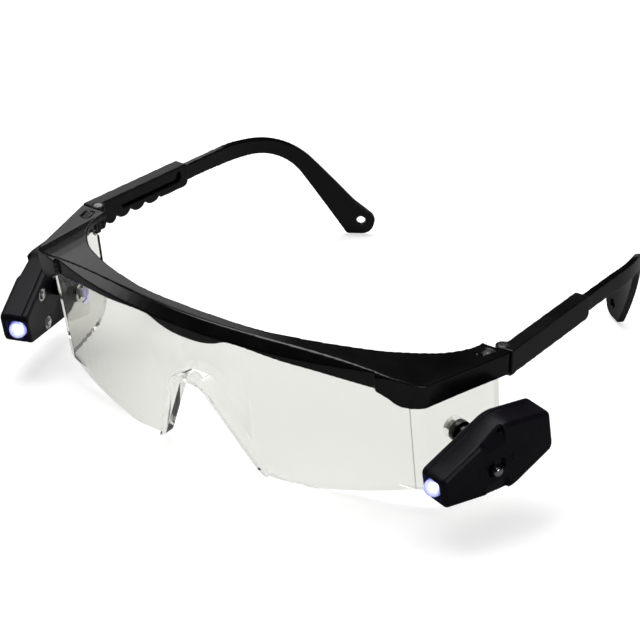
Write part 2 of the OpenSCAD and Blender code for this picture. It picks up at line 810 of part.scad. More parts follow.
module outer_cover_solid() {
    slot_l = lever_travel + 2 * lever_r + 0.8;
    at_lamp() difference() {
        union() {
            difference() {
                hull() {
                    lamp_slab(0, shell_t, lamp_t - case_bevel);
                    lamp_slab(case_bevel, lamp_t - 0.2, lamp_t);
                }
                intersection() {
                    lamp_slab(case_wall, shell_t - 1, cover_top);
                    behind_nose();
                }
            }
            at_case_screws() rod_x(boss_r, shell_t, cover_top + 0.1);
            // Marks beside the switch: a bar for on and a ring for off.
            translate([lamp_t - 0.1, -9.7, -1]) cube([mark_h + 0.1, 0.4, 2]);
            translate([lamp_t - 0.1, 1.2, lever_at.y]) rotate([0, 90, 0]) difference() {
                cylinder(r = 1, h = mark_h + 0.1);
                translate([0, 0, -1]) cylinder(r = 0.65, h = 3);
            }
        }
        led_seat();
        at_case_screws() rod_x(case_screw_r + screw_gap, 0, cover_top - 0.6);
        // Slot of the switch lever.
        translate([cover_top - 1, lever_at.x - lever_r - 0.4, lever_at.y - lever_r - 0.3])
            cube([5, slot_l, 2 * lever_r + 0.6]);
        // Scoops at both edges beside the slot.
        for (s = [1, -1])
            translate([lamp_t, -8, s * scoop_off]) rotate([0, -s * scoop_slope, 0])
                translate([0, 0, s > 0 ? 0 : -9]) cube([5, 7.5, 9]);
    }
}

module case_screws_solid() {
    at_lamp() at_case_screws() difference() {
        union() {
            rod_x(case_head_r, 0.1, 0.9);
            rod_x(case_screw_r, 0.8, 6.4);
        }
        cross_recess(case_head_r * 0.65, 0.1, 0.5);
    }
}

// A cross for a screwdriver, sunk from x0 by some depth.
module cross_recess(r, x0, depth) {
    for (a = [0, 90])
        translate([x0 - 1, 0, 0]) rotate([a, 0, 0]) translate([0, -r, -0.2])
            cube([depth + 1, 2 * r, 0.4]);
}

module led_solid() {
    at_lamp() {
        translate([led_in, led_base, 0]) rotate([90, 0, 0]) {
            cylinder(r = led_r + 0.4, h = 1);
            cylinder(r = led_r, h = led_l);
            translate([0, 0, led_l]) sphere(r = led_r);
        }
        for (s = [1, -1])
            translate([led_in + s * (board_t / 2 + 0.25) - 0.25, led_base - 0.5, -0.25])
                cube([0.5, board_front + 2 - led_base + 0.5, 0.5]);
    }
}

module board_solid() {
    at_lamp() translate([board_in, board_front, -board_half_w])
        cube([board_t, board_back - board_front, 2 * board_half_w]);
}

module cells_solid() {
    at_lamp() translate([0, cell_at, 0]) for (i = [0, 1]) {
        x0 = cell_in + i * (cell_t + screw_gap);
        rod_x(cell_d / 2 - 1, x0, x0 + 0.4);
        rod_x(cell_d / 2, x0 + 0.3, x0 + cell_t);
    }
}

// Each strip lies on a cell's face and has a leg that stands on the board.
module positive_contact_solid() {
    at_lamp() {
        translate([cell_top, -1.2, 1.2]) cube([strip_t, cell_at + 1.2, 1.7]);
        translate([board_top, -1.2, 1.2]) cube([cell_top + strip_t - board_top, strip_t, 1.7]);
    }
}
module negative_contact_solid() {
    at_lamp() {
        translate([shell_t, -1.2, -2.8]) cube([strip_t, cell_at + 1.2, 1.7]);
        translate([shell_t, -1.2, -2.8]) cube([board_in - shell_t, strip_t, 1.7]);
    }
}

module switch_body_solid() {
    at_lamp() difference() {
        translate([board_top, switch_x[0], switch_y[0]])
            cube([cover_top - board_top, switch_x[1], switch_y[1]]);
        translate([cover_top - channel_d, lever_at.x - 1.5, lever_at.y - 1.1])
            cube([channel_d + 1, 3 + lever_travel, 2.2]);
    }
}

module switch_lever_solid() {
    at_lamp() translate([0, lever_at.x, lever_at.y]) {
        translate([cover_top - channel_d + 0.1, -1.2, -0.8]) cube([1, 2.4, 1.6]);
        rod_x(0.7, cover_top - 0.5, lamp_t + 0.4);
        rod_x(lever_r, lamp_t - 0.6, lamp_t + lever_out - 0.7);
        translate([lamp_t + lever_out - 0.7, 0, 0]) rotate([0, 90, 0])
            rotate_extrude() intersection() {
                circle(r = lever_r);
                square([lever_r, 0.7]);
            }
    }
}

// Pivot

module knob_solid() {
    snap_x = spacer_l + shell_t - pocket_t + neck_fit;
    at_pivot() difference() {
        union() {
            rod_x(knob_r, 0, disc_t);
            rod_x(stem_r, disc_t - 0.5, spacer_l - neck_fit);
            rod_x(neck_r, spacer_l - 1, snap_x + 0.5);
            rod_x(snap_r, snap_x, snap_x + snap_h);
        }
        rod_x(pivot_screw_r + screw_gap, -1, 4.6);
        // The split that lets the snap head through.
        translate([spacer_l, -0.35, -5]) cube([5, 0.7, 10]);
    }
}

module washer_solid() {
    at_pivot() difference() {
        rod_x(washer_r, -lens_t - washer_t, -lens_t);
        rod_x(pivot_screw_r + 0.1, -lens_t - washer_t - 1, 0);
    }
}

module pivot_screw_solid() {
    head_x = -lens_t - washer_t;
    at_pivot() difference() {
        union() {
            rod_x(pivot_head_r, head_x - 0.8, head_x);
            rod_x(pivot_screw_r, head_x - 0.1, 4.4);
        }
        cross_recess(pivot_head_r * 0.65, head_x - 0.8, 0.5);
    }
}

// Pieces

module brow_frame() { color(black) placed() frame_solid(); }
module lens() { color(lens_clear) placed() lens_solid(); }
module right_temple_sleeve() { color(black) placed() sleeve_solid(); }
module left_temple_sleeve() { color(black) placed() on_left() sleeve_solid(); }
module right_temple_arm() { color(black) placed() arm_solid(); }
module left_temple_arm() { color(black) placed() on_left() arm_solid(); }
module right_hinge_pin() { color(silver) placed() hinge_pin(); }
module left_hinge_pin() { color(silver) placed() on_left() hinge_pin(); }
module right_pivot_knob() { color(black) placed() knob_solid(); }
module left_pivot_knob() { color(black) placed() on_left() knob_solid(); }
module right_pivot_washer() { color(lens_clear) placed() washer_solid(); }
module left_pivot_washer() { color(lens_clear) placed() on_left() washer_solid(); }
module right_pivot_screw() { color(silver) placed() pivot_screw_solid(); }
module left_pivot_screw() { color(silver) placed() on_left() pivot_screw_solid(); }
module right_lamp_inner_shell() { color(black) placed() inner_shell_solid(); }
module left_lamp_inner_shell() { color(black) placed() on_left() inner_shell_solid(); }
module right_lamp_outer_cover() { color(black) placed() outer_cover_solid(); }
module left_lamp_outer_cover() { color(black) placed() on_left() outer_cover_solid(); }
module right_case_screws() { color(silver) placed() case_screws_solid(); }
module left_case_screws() { color(silver) placed() on_left() case_screws_solid(); }
module right_led() { color(lamp_white) placed() led_solid(); }
module left_led() { color(lamp_white) placed() on_left() led_solid(); }
module right_circuit_board() { color(board_green) placed() board_solid(); }
module left_circuit_board() { color(board_green) placed() on_left() board_solid(); }
module right_button_cells() { color(silver) placed() cells_solid(); }
module left_button_cells() { color(silver) placed() on_left() cells_solid(); }
module right_positive_contact() { color(copper) placed() positive_contact_solid(); }
module left_positive_contact() { color(copper) placed() on_left() positive_contact_solid(); }
module right_negative_contact() { color(copper) placed() negative_contact_solid(); }
module left_negative_contact() { color(copper) placed() on_left() negative_contact_solid(); }
module right_switch_body() { color(silver) placed() switch_body_solid(); }
module left_switch_body() { color(silver) placed() on_left() switch_body_solid(); }
module right_switch_lever() { color(silver) placed() switch_lever_solid(); }
module left_switch_lever() { color(silver) placed() on_left() switch_lever_solid(); }

brow_frame();
lens();
right_temple_sleeve();
left_temple_sleeve();
right_temple_arm();
left_temple_arm();
right_hinge_pin();
left_hinge_pin();
right_pivot_knob();
left_pivot_knob();
right_pivot_washer();
left_pivot_washer();
right_pivot_screw();
left_pivot_screw();
right_lamp_inner_shell();
left_lamp_inner_shell();
right_lamp_outer_cover();
left_lamp_outer_cover();
right_case_screws();
left_case_screws();
right_led();
left_led();
right_circuit_board();
left_circuit_board();
right_button_cells();
left_button_cells();
right_positive_contact();
left_positive_contact();
right_negative_contact();
left_negative_contact();
right_switch_body();
left_switch_body();
right_switch_lever();
left_switch_lever();
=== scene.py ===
"""Visual model of a pair of safety glasses with a small turning lamp at each side.

The glasses have a clear wrap-round polycarbonate lens held in a black nylon brow
frame, folding temples whose arms slide in ribbed sleeves, and two lamps that turn on
knobs beside the lens. Everything is in metres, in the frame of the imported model.
"""
import logging
import math
from dataclasses import dataclass, field
from enum import Enum

import bmesh
import bpy
import numpy as np
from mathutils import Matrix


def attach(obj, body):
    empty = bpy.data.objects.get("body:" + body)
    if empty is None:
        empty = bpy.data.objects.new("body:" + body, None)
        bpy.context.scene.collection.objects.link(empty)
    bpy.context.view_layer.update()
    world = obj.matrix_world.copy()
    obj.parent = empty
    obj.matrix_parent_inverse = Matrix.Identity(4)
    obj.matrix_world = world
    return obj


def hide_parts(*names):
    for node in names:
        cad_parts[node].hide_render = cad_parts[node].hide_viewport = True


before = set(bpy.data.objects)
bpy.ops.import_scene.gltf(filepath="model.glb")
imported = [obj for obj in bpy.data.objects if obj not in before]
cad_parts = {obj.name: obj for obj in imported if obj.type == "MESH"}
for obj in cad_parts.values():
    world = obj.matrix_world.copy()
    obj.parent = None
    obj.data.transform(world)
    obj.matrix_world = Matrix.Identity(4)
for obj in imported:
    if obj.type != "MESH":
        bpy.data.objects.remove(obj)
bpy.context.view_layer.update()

MM = 0.001
DOUBLES_MM = 0.002
LENS_CREASE = 24
SCREW_CREASE = 35
TURNED_CREASE = 40
MOULDED_CREASE = 60
LOG = logging.getLogger("glasses")


class Side(Enum):
    """The two sides of the glasses, by the sign of X."""

    RIGHT = 1
    LEFT = -1

    @property
    def prefix(self) -> str:
        """Return the start of the names of this side's pieces."""
        return self.name.lower()


class Grain(Enum):
    """How the moulded surface of a black piece was finished in the mould."""

    POLISHED = "polished"
    SATIN = "satin"
    SPARKED = "sparked"


# Colour and node helpers


def linear(hex_colour: str, alpha: float = 1.0) -> tuple[float, float, float, float]:
    """Turn an sRGB hex colour into linear values.

    Each channel c becomes c / 12.92 below 0.04045 and ((c + 0.055) / 1.055) ** 2.4
    above it.

    Args:
        hex_colour: Six hex digits after a hash sign.
        alpha: The fourth value.

    Returns:
        Red, green, blue and alpha, from 0 to 1.
    """
    srgb = np.array([int(hex_colour[i:i + 2], 16) for i in (1, 3, 5)]) / 255
    flat = np.where(srgb <= 0.04045, srgb / 12.92, ((srgb + 0.055) / 1.055) ** 2.4)
    return (float(flat[0]), float(flat[1]), float(flat[2]), alpha)


def add_node(
    tree: bpy.types.NodeTree,
    kind: str,
    settings: dict[str, object] | None = None,
    inputs: dict[str | int, object] | None = None,
) -> bpy.types.Node:
    """Add a shader node with its settings and links.

    Args:
        tree: The node tree that takes the node.
        kind: The node's type name.
        settings: Properties of the node by name.
        inputs: Input sockets by name or number, each with a value or an output socket.

    Returns:
        The new node.
    """
    node = tree.nodes.new(kind)
    for name, value in (settings or {}).items():
        setattr(node, name, value)
    for name, value in (inputs or {}).items():
        if isinstance(value, bpy.types.NodeSocket):
            tree.links.new(value, node.inputs[name])
        else:
            node.inputs[name].default_value = value
    return node


def set_ramp(node: bpy.types.Node, stops: list[tuple[float, tuple]]) -> bpy.types.NodeSocket:
    """Set a colour ramp's stops.

    Args:
        node: The Color Ramp node.
        stops: Positions with their colours, in order.

    Returns:
        The ramp's colour output.
    """
    ramp = node.color_ramp
    while len(ramp.elements) < len(stops):
        ramp.elements.new(0.5)
    for element, (position, colour) in zip(ramp.elements, stops):
        element.position = position
        element.color = colour
    return node.outputs["Color"]


def new_material(name: str) -> tuple[bpy.types.Material, bpy.types.NodeTree]:
    """Make an empty node material.

    Args:
        name: The material's name.

    Returns:
        The material and its emptied node tree.
    """
    material = bpy.data.materials.new(name)
    material.use_nodes = True
    material.node_tree.nodes.clear()
    return material, material.node_tree


def finish_surface(tree: bpy.types.NodeTree, shader: bpy.types.NodeSocket) -> None:
    """Link a shader to the material's output.

    Args:
        tree: The material's node tree.
        shader: The shader socket.
    """
    add_node(tree, "ShaderNodeOutputMaterial", None, {"Surface": shader})


def pattern_space(tree: bpy.types.NodeTree, cell_mm: float | tuple) -> bpy.types.NodeSocket:
    """Give Object coordinates scaled so that one unit is a pattern cell.

    Args:
        tree: The material's node tree.
        cell_mm: The cell's size in millimetres, or one size for each axis.

    Returns:
        The scaled vector.
    """
    cells = cell_mm if isinstance(cell_mm, tuple) else (cell_mm,) * 3
    where = add_node(tree, "ShaderNodeTexCoord")
    scaled = add_node(
        tree, "ShaderNodeMapping", None,
        {"Vector": where.outputs["Object"], "Scale": tuple(1 / (c * MM) for c in cells)},
    )
    return scaled.outputs["Vector"]


# Finishes


@dataclass(frozen=True)
class MouldedNylon:
    """Black glass-filled nylon, injection moulded.

    It is nearly black with a soft grey sheen: the filler gives a faint cloudiness,
    and the mould's surface gives a fine grain whose depth sets how far light spreads.
    The lamps' cases, of a black ABS, are finished in the same way.
    """

    name: str
    deep_hex: str
    worn_hex: str
    roughness: float
    grain: Grain
    shine: float
    cloud_mm: float = 9.0

    def build(self) -> bpy.types.Material:
        """Build the material.

        Returns:
            The finished material.
        """
        material, tree = new_material(self.name)
        # The grain is drawn a little coarser than the real one so that it shows. A
        # polished mould leaves no grain but a slow and very shallow waviness.
        grain_mm = {Grain.POLISHED: 1.6, Grain.SATIN: 0.4, Grain.SPARKED: 0.3}[self.grain]
        depth = {Grain.POLISHED: 0.02, Grain.SATIN: 0.12, Grain.SPARKED: 0.4}[self.grain]
        clouds = add_node(
            tree, "ShaderNodeTexNoise", None,
            {"Vector": pattern_space(tree, self.cloud_mm), "Scale": 1.0, "Detail": 4.0,
             "Roughness": 0.55},
        )
        grains = add_node(
            tree, "ShaderNodeTexNoise", None,
            {"Vector": pattern_space(tree, grain_mm), "Scale": 1.0, "Detail": 2.0,
             "Roughness": 0.6},
        )
        specks = add_node(
            tree, "ShaderNodeTexVoronoi", None,
            {"Vector": pattern_space(tree, grain_mm * 1.7), "Scale": 1.0},
        )
        tone = set_ramp(
            add_node(tree, "ShaderNodeValToRGB", None, {"Fac": clouds.outputs["Fac"]}),
            [(0.35, linear(self.deep_hex)), (0.7, linear(self.worn_hex))],
        )
        spread = add_node(
            tree, "ShaderNodeMapRange", None,
            {"Value": clouds.outputs["Fac"], "From Min": 0.3, "From Max": 0.7,
             "To Min": self.roughness * 0.88, "To Max": self.roughness * 1.12},
        )
        relief = add_node(
            tree, "ShaderNodeMath", {"operation": "ADD"},
            {0: grains.outputs["Fac"], 1: specks.outputs["Distance"]},
        )
        bump = add_node(
            tree, "ShaderNodeBump", None,
            {"Height": relief.outputs["Value"], "Strength": depth,
             "Distance": 0.05 * MM},
        )
        skin = add_node(
            tree, "ShaderNodeBsdfPrincipled", None,
            {"Base Color": tone, "Roughness": spread.outputs["Result"], "IOR": 1.53,
             "Specular IOR Level": self.shine, "Normal": bump.outputs["Normal"]},
        )
        finish_surface(tree, skin.outputs["BSDF"])
        return material


@dataclass(frozen=True)
class ClearPolycarbonate:
    """Clear polycarbonate, moulded in a polished tool.

    It passes nearly all light and has a faint warm grey cast that shows where the eye
    looks along the sheet. It bends light less than the real plastic does, so that it
    stays as pale against the white room as in the photograph.
    """

    name: str
    tint_hex: str
    roughness: float
    bend: float
    # The next four fields place a thin grey line of painted shade along the lens's bend at each
    # side.
    crease_shade_x_mm: float = 0.0
    crease_shade_lean: float = 0.035
    crease_shade_half_mm: float = 0.16
    crease_shade_hex: str = "#8c8c88"
    wave_mm: tuple[float, float, float] = (14.0, 14.0, 22.0)

    def build(self) -> bpy.types.Material:
        """Build the material.

        Returns:
            The finished material.
        """
        material, tree = new_material(self.name)
        # Moulding flow waves the surface by a few micrometres.
        waves = add_node(
            tree, "ShaderNodeTexNoise", None,
            {"Vector": pattern_space(tree, self.wave_mm), "Scale": 1.0, "Detail": 1.0},
        )
        smears = add_node(
            tree, "ShaderNodeMapRange", None,
            {"Value": waves.outputs["Fac"], "From Min": 0.35, "From Max": 0.75,
             "To Min": self.roughness * 0.6, "To Max": self.roughness * 1.8},
        )
        bump = add_node(
            tree, "ShaderNodeBump", None,
            {"Height": waves.outputs["Fac"], "Strength": 0.15, "Distance": 0.05 * MM},
        )
        sheet = add_node(
            tree, "ShaderNodeBsdfPrincipled", None,
            {"Base Color": self.tint(tree), "Roughness": smears.outputs["Result"],
             "IOR": self.bend, "Transmission Weight": 1.0, "Normal": bump.outputs["Normal"]},
        )
        finish_surface(tree, sheet.outputs["BSDF"])
        return material

    def tint(self, tree: bpy.types.NodeTree) -> bpy.types.NodeSocket:
        """Give the sheet's tint, with a thin grey line of painted shade where the lens bends
        round at each side, if it has one.

        The painted shade line lies where | |x| - lean z - line_x | is under half its width, in
        millimetres, and only on the face that the ray enters by. It stands for the shade that
        the bend of the clear sheet shows. A piece without the line keeps line_x at 0, where it
        has no surface.

        Args:
            tree: The material's node tree.

        Returns:
            The colour.
        """
        where = add_node(tree, "ShaderNodeSeparateXYZ", None,
                         {"Vector": pattern_space(tree, 1.0)})
        aside = add_node(tree, "ShaderNodeMath", {"operation": "ABSOLUTE"},
                         {0: where.outputs["X"]})
        leaned = add_node(
            tree, "ShaderNodeMath", {"operation": "MULTIPLY_ADD"},
            {0: where.outputs["Z"], 1: -self.crease_shade_lean, 2: aside.outputs["Value"]})
        # Painted shade: a thin grey line along the lens's bend at each side, only on the face
        # that the ray enters by.
        near = add_node(
            tree, "ShaderNodeMath", {"operation": "COMPARE"},
            {0: leaned.outputs["Value"], 1: self.crease_shade_x_mm, 2: self.crease_shade_half_mm})
        face = add_node(tree, "ShaderNodeNewGeometry")
        crease_shade_mask = add_node(
            tree, "ShaderNodeMath", {"operation": "SUBTRACT", "use_clamp": True},
            {0: near.outputs["Value"], 1: face.outputs["Backfacing"]})
        return add_node(
            tree, "ShaderNodeMix", {"data_type": "RGBA"},
            {0: crease_shade_mask.outputs["Value"], 6: linear(self.tint_hex), 7: linear(self.crease_shade_hex)},
        ).outputs[2]


@dataclass(frozen=True)
class LitEpoxy:
    """Clear epoxy of a lit white diode.

    The die inside is far brighter than the rest, so the dome is white in its middle
    and falls off to a violet blue at its rim. The recess round it takes the violet
    blue of the light that leaves sideways.
    """

    name: str
    core_hex: str
    middle_hex: str
    rim_hex: str
    side_hex: str
    strength: float

    def build(self) -> bpy.types.Material:
        """Build the material.

        Returns:
            The finished material.
        """
        material, tree = new_material(self.name)
        facing = add_node(tree, "ShaderNodeLayerWeight", None, {"Blend": 0.35})
        mottle = add_node(
            tree, "ShaderNodeTexNoise", None,
            {"Vector": pattern_space(tree, 0.9), "Scale": 1.0, "Detail": 2.0},
        )
        blend = add_node(
            tree, "ShaderNodeMath", {"operation": "MULTIPLY_ADD"},
            {0: mottle.outputs["Fac"], 1: 0.3, 2: facing.outputs["Facing"]},
        )
        dome_glow = set_ramp(
            add_node(tree, "ShaderNodeValToRGB", None, {"Fac": blend.outputs["Value"]}),
            [(0.2, linear(self.core_hex)), (0.33, linear(self.middle_hex)),
             (0.65, linear(self.rim_hex))],
        )
        path = add_node(tree, "ShaderNodeLightPath")
        glow = add_node(
            tree, "ShaderNodeMix", {"data_type": "RGBA"},
            {0: path.outputs["Is Camera Ray"], 6: linear(self.side_hex), 7: dome_glow},
        ).outputs[2]
        dome = add_node(
            tree, "ShaderNodeBsdfPrincipled", None,
            {"Base Color": linear("#e8ecff"), "Roughness": 0.06, "IOR": 1.54,
             "Emission Color": glow, "Emission Strength": self.strength},
        )
        finish_surface(tree, dome.outputs["BSDF"])
        return material


@dataclass(frozen=True)
class WorkedMetal:
    """A bare, plated or coated metal piece, turned, punched or rolled.

    Fine tool marks roughen it, and where they are long in one direction they stretch each
    highlight across them. A low metallic value with a pale tone makes a matt grey whose own
    colour is a painted reflection, standing in for the bright room that bare steel mirrors.
    """

    name: str
    tone_hex: str
    dull_hex: str
    roughness: float
    mark_mm: tuple[float, float, float] = (0.12, 0.12, 0.12)
    relief: float = 0.1
    metallic: float = 1.0

    def build(self) -> bpy.types.Material:
        """Build the material.

        Returns:
            The finished material.
        """
        material, tree = new_material(self.name)
        marks = add_node(
            tree, "ShaderNodeTexNoise", None,
            {"Vector": pattern_space(tree, self.mark_mm), "Scale": 1.0, "Detail": 3.0},
        )
        dulling = add_node(
            tree, "ShaderNodeTexNoise", None,
            {"Vector": pattern_space(tree, 2.5), "Scale": 1.0, "Detail": 3.0},
        )
        tone = set_ramp(
            add_node(tree, "ShaderNodeValToRGB", None, {"Fac": dulling.outputs["Fac"]}),
            [(0.35, linear(self.dull_hex)), (0.65, linear(self.tone_hex))],
        )
        spread = add_node(
            tree, "ShaderNodeMapRange", None,
            {"Value": marks.outputs["Fac"], "From Min": 0.3, "From Max": 0.7,
             "To Min": self.roughness * 0.7, "To Max": self.roughness * 1.3},
        )
        bump = add_node(
            tree, "ShaderNodeBump", None,
            {"Height": marks.outputs["Fac"], "Strength": self.relief, "Distance": 0.02 * MM},
        )
        skin = add_node(
            tree, "ShaderNodeBsdfPrincipled", None,
            {"Base Color": tone, "Metallic": self.metallic,
             "Roughness": spread.outputs["Result"], "Normal": bump.outputs["Normal"]},
        )
        finish_surface(tree, skin.outputs["BSDF"])
        return material


@dataclass(frozen=True)
class CoatedBoard:
    """Glass-fibre circuit board under green solder resist.

    The weave of the cloth shows faintly through the glossy resist.
    """

    name: str
    resist_hex: str
    weave_hex: str
    weave_cell_mm: float = 3.1

    def build(self) -> bpy.types.Material:
        """Build the material.

        Returns:
            The finished material.
        """
        material, tree = new_material(self.name)
        # The texture has 20 / (2 pi) bands in a cell, so bundles lie about 1 mm apart.
        weave = add_node(
            tree, "ShaderNodeTexWave", {"wave_type": "BANDS"},
            {"Vector": pattern_space(tree, self.weave_cell_mm), "Scale": 1.0,
             "Distortion": 0.4},
        )
        tone = set_ramp(
            add_node(tree, "ShaderNodeValToRGB", None, {"Fac": weave.outputs["Fac"]}),
            [(0.2, linear(self.resist_hex)), (0.9, linear(self.weave_hex))],
        )
        skin = add_node(
            tree, "ShaderNodeBsdfPrincipled", None,
            {"Base Color": tone, "Roughness": 0.3, "IOR": 1.5},
        )
        finish_surface(tree, skin.outputs["BSDF"])
        return material


@dataclass
class FinishRack:
    """All finishes of the glasses, each built once."""

    frame_black: bpy.types.Material = field(init=False)
    sleeve_black: bpy.types.Material = field(init=False)
    arm_black: bpy.types.Material = field(init=False)
    knob_black: bpy.types.Material = field(init=False)
    case_black: bpy.types.Material = field(init=False)
    lens_clear: bpy.types.Material = field(init=False)
    washer_clear: bpy.types.Material = field(init=False)
    led_lit: bpy.types.Material = field(init=False)
    screw_steel: bpy.types.Material = field(init=False)
    pivot_steel: bpy.types.Material = field(init=False)
    pin_steel: bpy.types.Material = field(init=False)
    lever_steel: bpy.types.Material = field(init=False)
    cell_steel: bpy.types.Material = field(init=False)
    contact_brass: bpy.types.Material = field(init=False)
    board_green: bpy.types.Material = field(init=False)

    def __post_init__(self) -> None:
        """Build each finish."""
        self.frame_black = MouldedNylon(
            "polished_black_nylon_frame", "#050506", "#080809",
            roughness=0.19, grain=Grain.POLISHED, shine=0.45).build()
        self.sleeve_black = MouldedNylon(
            "satin_black_nylon_sleeve", "#08080a", "#0d0d0e",
            roughness=0.3, grain=Grain.SATIN, shine=0.35).build()
        self.arm_black = MouldedNylon(
            "polished_black_nylon_arm", "#060608", "#0a0a0b",
            roughness=0.18, grain=Grain.POLISHED, shine=0.4).build()
        self.knob_black = MouldedNylon(
            "polished_black_nylon_knob", "#050506", "#080809",
            roughness=0.2, grain=Grain.POLISHED, shine=0.25).build()
        self.case_black = MouldedNylon(
            "sparked_black_abs_case", "#0f0c13", "#16131b",
            roughness=0.36, grain=Grain.SPARKED, shine=0.14).build()
        # The lens carries the painted shade line along its bends, 57.7 mm out from the middle.
        self.lens_clear = ClearPolycarbonate(
            "clear_moulded_polycarbonate", "#e0e0db",
            roughness=0.02, bend=1.2, crease_shade_x_mm=57.7).build()
        self.washer_clear = ClearPolycarbonate(
            "clear_polycarbonate_washer", "#f8f8f6", roughness=0.04, bend=1.08).build()
        self.led_lit = LitEpoxy(
            "lit_diode_epoxy", core_hex="#767a80", middle_hex="#484c74", rim_hex="#242648",
            side_hex="#403c8c", strength=7.0).build()
        self.screw_steel = WorkedMetal(
            "nickel_plated_screw_steel", "#c9cacd", "#a9aaae", roughness=0.22).build()
        # Painted reflection: the pivot screw is given a pale matt grey of low metallic value,
        # whose own colour stands in for the bright reflections of its bare steel.
        self.pivot_steel = WorkedMetal(
            "zinc_flake_coated_screw_steel", "#ecece8", "#dededa",
            roughness=0.55, metallic=0.15).build()
        self.pin_steel = WorkedMetal(
            "plain_drawn_pin_steel", "#b9babd", "#8d8e92", roughness=0.28).build()
        self.lever_steel = WorkedMetal(
            "turned_switch_lever_steel", "#c4c5c8", "#a0a1a5", roughness=0.2).build()
        self.cell_steel = WorkedMetal(
            "nickel_plated_cell_steel", "#c2c2c4", "#9c9c9f",
            roughness=0.25, mark_mm=(1.2, 0.06, 0.06)).build()
        self.contact_brass = WorkedMetal(
            "rolled_spring_brass", "#c8a765", "#a5864c",
            roughness=0.3, mark_mm=(1.5, 0.08, 0.08)).build()
        self.board_green = CoatedBoard(
            "green_coated_glass_board", "#123d29", "#1d5a3d").build()


# Mesh helpers


def link(mesh: bpy.types.Mesh, name: str) -> bpy.types.Object:
    """Put a mesh into the scene as an object at the origin.

    Args:
        mesh: The mesh.
        name: The object's name.

    Returns:
        The object.
    """
    piece = bpy.data.objects.new(name, mesh)
    bpy.context.scene.collection.objects.link(piece)
    return piece


def grid_faces(rows: int, columns: int) -> np.ndarray:
    """Give the quads of a grid whose columns close on themselves.

    The quad at row i and column j joins i, i + 1 with j, j + 1, where the column
    after the last is the first.

    Args:
        rows: The number of rows of points.
        columns: The number of points in each row.

    Returns:
        Four point numbers for each quad.
    """
    i, j = np.meshgrid(np.arange(rows - 1), np.arange(columns), indexing="ij")
    k = (j + 1) % columns
    quads = np.stack(
        [i * columns + j, i * columns + k, (i + 1) * columns + k, (i + 1) * columns + j], -1)
    return quads.reshape(-1, 4)


def closed_surface(name: str, rings: np.ndarray, flip: bool) -> bpy.types.Object:
    """Make a closed skin from rings of points, capped where the first and last lie.

    Args:
        name: The object's name.
        rings: Points in metres, as rings by points by three.
        flip: Whether the order of the faces' points is turned round.

    Returns:
        The object, shaded smooth with sharp edges over TURNED_CREASE degrees.
    """
    count, around = rings.shape[:2]
    points = np.concatenate([rings.reshape(-1, 3), rings[:1].mean(1), rings[-1:].mean(1)])
    quads = grid_faces(count, around)
    j = np.arange(around)
    k = (j + 1) % around
    low = np.stack([np.full(around, count * around), k, j], -1)
    last = (count - 1) * around
    high = np.stack([np.full(around, count * around + 1), last + j, last + k], -1)
    if flip:
        quads, low, high = quads[:, ::-1], low[:, ::-1], high[:, ::-1]
    mesh = bpy.data.meshes.new(name)
    mesh.from_pydata(points.tolist(), [], quads.tolist() + low.tolist() + high.tolist())
    return smooth_shaded(link(mesh, name), TURNED_CREASE)


def smooth_shaded(piece: bpy.types.Object, degrees: float) -> bpy.types.Object:
    """Shade a piece smooth, with sharp edges where its faces turn by more than an angle.

    Args:
        piece: The object.
        degrees: The angle above which an edge is sharp.

    Returns:
        The same object.
    """
    mesh = piece.data
    mesh.polygons.foreach_set("use_smooth", np.ones(len(mesh.polygons), dtype=bool))
    mesh.set_sharp_from_angle(angle=math.radians(degrees))
    mesh.update()
    return piece


def merged_copy(node: str, name: str) -> bpy.types.Object:
    """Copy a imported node's mesh and merge its doubled points.

    Args:
        node: The node's name.
        name: The copy's name.

    Returns:
        The copy as an object.
    """
    work = bmesh.new()
    work.from_mesh(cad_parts[node].data)
    bmesh.ops.remove_doubles(work, verts=work.verts, dist=DOUBLES_MM * MM)
    mesh = bpy.data.meshes.new(name)
    work.to_mesh(mesh)
    work.free()
    return link(mesh, name)


def softened_copy(node: str, name: str, cell_mm: float, passes: int) -> bpy.types.Object:
    """Copy a moulded node with its sharp edges rounded as a mould leaves them.

    The copy is remeshed on an even grid, and then each point moves to the mean of its
    neighbours a number of times, which leaves flat faces flat and rounds the edges.

    Args:
        node: The node's name.
        name: The copy's name.
        cell_mm: The grid's spacing in millimetres.
        passes: How often the points are averaged.

    Returns:
        The rounded copy.
    """
    piece = merged_copy(node, name)
    remesh = piece.modifiers.new("even_grid", "REMESH")
    remesh.mode = "VOXEL"
    remesh.voxel_size = cell_mm * MM
    smooth = piece.modifiers.new("rounding", "SMOOTH")
    smooth.factor = 0.5
    smooth.iterations = passes
    held = bpy.context.evaluated_depsgraph_get()
    baked = bpy.data.meshes.new_from_object(piece.evaluated_get(held))
    piece.modifiers.clear()
    piece.data = baked
    baked.name = name
    return smooth_shaded(piece, MOULDED_CREASE)


def rounded_profile(corners: list[tuple[float, float, float]], steps: int = 5) -> np.ndarray:
    """Round the corners of an open profile.

    A corner b between a and c with radius r becomes the quadratic curve
    (1 - t)^2 p + 2 t (1 - t) b + t^2 q, where p and q lie r from b towards a and c.

    Args:
        corners: Places along the axis, radii and rounding radii, in millimetres.
        steps: The number of spans in each corner.

    Returns:
        The points of the profile.
    """
    raw = np.array(corners, float)
    points, turn = raw[:, :2], raw[1:-1, 2:3]
    before, here, after = points[:-2], points[1:-1], points[2:]
    to_a = (before - here) / np.linalg.norm(before - here, axis=1, keepdims=True)
    to_c = (after - here) / np.linalg.norm(after - here, axis=1, keepdims=True)
    p, q = here + to_a * turn, here + to_c * turn
    t = np.linspace(0, 1, steps + 1)[None, :, None]
    arcs = (1 - t) ** 2 * p[:, None] + 2 * t * (1 - t) * here[:, None] + t ** 2 * q[:, None]
    return np.concatenate([points[:1], arcs.reshape(-1, 2), points[-1:]])


